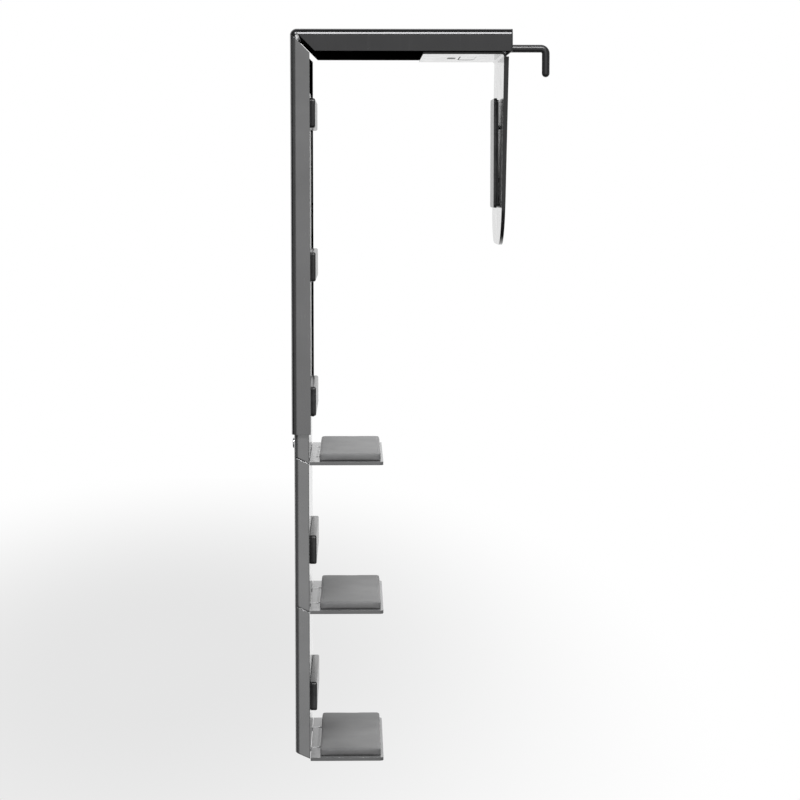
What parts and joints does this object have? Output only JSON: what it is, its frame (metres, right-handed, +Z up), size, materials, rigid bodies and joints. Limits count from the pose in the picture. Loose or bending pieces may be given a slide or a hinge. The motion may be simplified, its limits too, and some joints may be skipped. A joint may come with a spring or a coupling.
{
  "type": "over-the-edge valet stand",
  "caption": "Hanging valet stand: a channel hooks over an edge with a sliding padded clamp, a telescoping mast carries folding padded trays and rubber bumpers, a rod hook ends the arm.",
  "frame": {"origin": "on the supporting edge: in the plane of the bumpers' faces, mid-width, level with the clamp plate's underside", "axes": "+X from the post out along the arm to the hook, +Y across the width, +Z up"},
  "size_m": [0.3199, 0.22, 0.8914],
  "materials": {
    "gloss_metal": "glossy dark grey powder coat over sheet aluminium",
    "zinc_steel": "zinc plated, satin",
    "button_chrome": "polished",
    "black_plastic": "fine satin",
    "black_rubber": "matte",
    "grey_pad": "matte felt over foam"
  },
  "bodies": {
    "frame": {"arm_channel": "gloss_metal", "post_channel": "gloss_metal", "corner_bend": "gloss_metal", "end_cap": "black_plastic", "hook_rod": "gloss_metal", "hook_nut": "zinc_steel", "slide_rail": "zinc_steel", "rail_screws": "zinc_steel", "guide_studs": "zinc_steel", "guide_nuts": "zinc_steel", "guide_washers": "black_plastic", "post_glides": "black_plastic"},
    "mast": {"mast_upper": "gloss_metal", "mast_middle": "gloss_metal", "mast_lower": "gloss_metal", "hinge_bracket_1": "gloss_metal", "hinge_bracket_2": "gloss_metal", "hinge_bracket_3": "gloss_metal", "bracket_screws": "zinc_steel", "tray_pin_1": "zinc_steel", "tray_pin_2": "zinc_steel", "tray_pin_3": "zinc_steel", "bumper_1": "black_rubber", "bumper_2": "black_rubber", "bumper_3": "black_rubber", "bumper_4": "black_rubber", "bumper_5": "black_rubber", "button_cup": "zinc_steel", "button_spring": "zinc_steel", "mast_cover_upper": "gloss_metal", "mast_cover_middle": "gloss_metal", "mast_cover_lower": "gloss_metal", "bumper_screws": "zinc_steel"},
    "button": {"lock_button": "button_chrome"},
    "tray_1": {"tray_1": "gloss_metal", "tray_pad_1": "grey_pad"},
    "tray_2": {"tray_2": "gloss_metal", "tray_pad_2": "grey_pad"},
    "tray_3": {"tray_3": "gloss_metal", "tray_pad_3": "grey_pad"},
    "clamp": {"clamp_bracket": "gloss_metal", "clamp_pad_plate": "gloss_metal", "clamp_pad": "black_rubber", "clamp_pad_screws": "zinc_steel", "slide_shoe": "black_plastic", "shoe_screws": "zinc_steel", "paddle_pin": "zinc_steel", "paddle_spring": "zinc_steel"},
    "paddle": {"release_paddle": "gloss_metal"}
  },
  "joints": [
    {"name": "mast_slide", "type": "slide", "parent": "frame", "child": "mast", "axis": [0, 0, 1], "range_m": [-0.15, 0.014]},
    {"name": "tray_1_fold", "type": "hinge", "parent": "mast", "child": "tray_1", "pos_m": [0, 0, -0.4915], "axis": [0, -1, 0], "range_deg": [0, 60]},
    {"name": "tray_2_fold", "type": "hinge", "parent": "mast", "child": "tray_2", "pos_m": [0, 0, -0.6739], "axis": [0, -1, 0], "range_deg": [0, 60]},
    {"name": "tray_3_fold", "type": "hinge", "parent": "mast", "child": "tray_3", "pos_m": [0, 0, -0.8563], "axis": [0, -1, 0], "range_deg": [0, 60]},
    {"name": "button_press", "type": "slide", "parent": "mast", "child": "button", "axis": [1, 0, 0], "range_m": [0, 0.0045], "stiffness_N_per_m": 900, "springref_m": -0.002},
    {"name": "clamp_slide", "type": "slide", "parent": "frame", "child": "clamp", "axis": [1, 0, 0], "range_m": [-0.113, 0]},
    {"name": "paddle_press", "type": "hinge", "parent": "clamp", "child": "paddle", "pos_m": [0.1795, 0, 0.0062], "axis": [0, 1, 0], "range_deg": [0, 10], "stiffness_Nm_per_rad": 0.03, "springref_deg": -34.38}
  ]
}
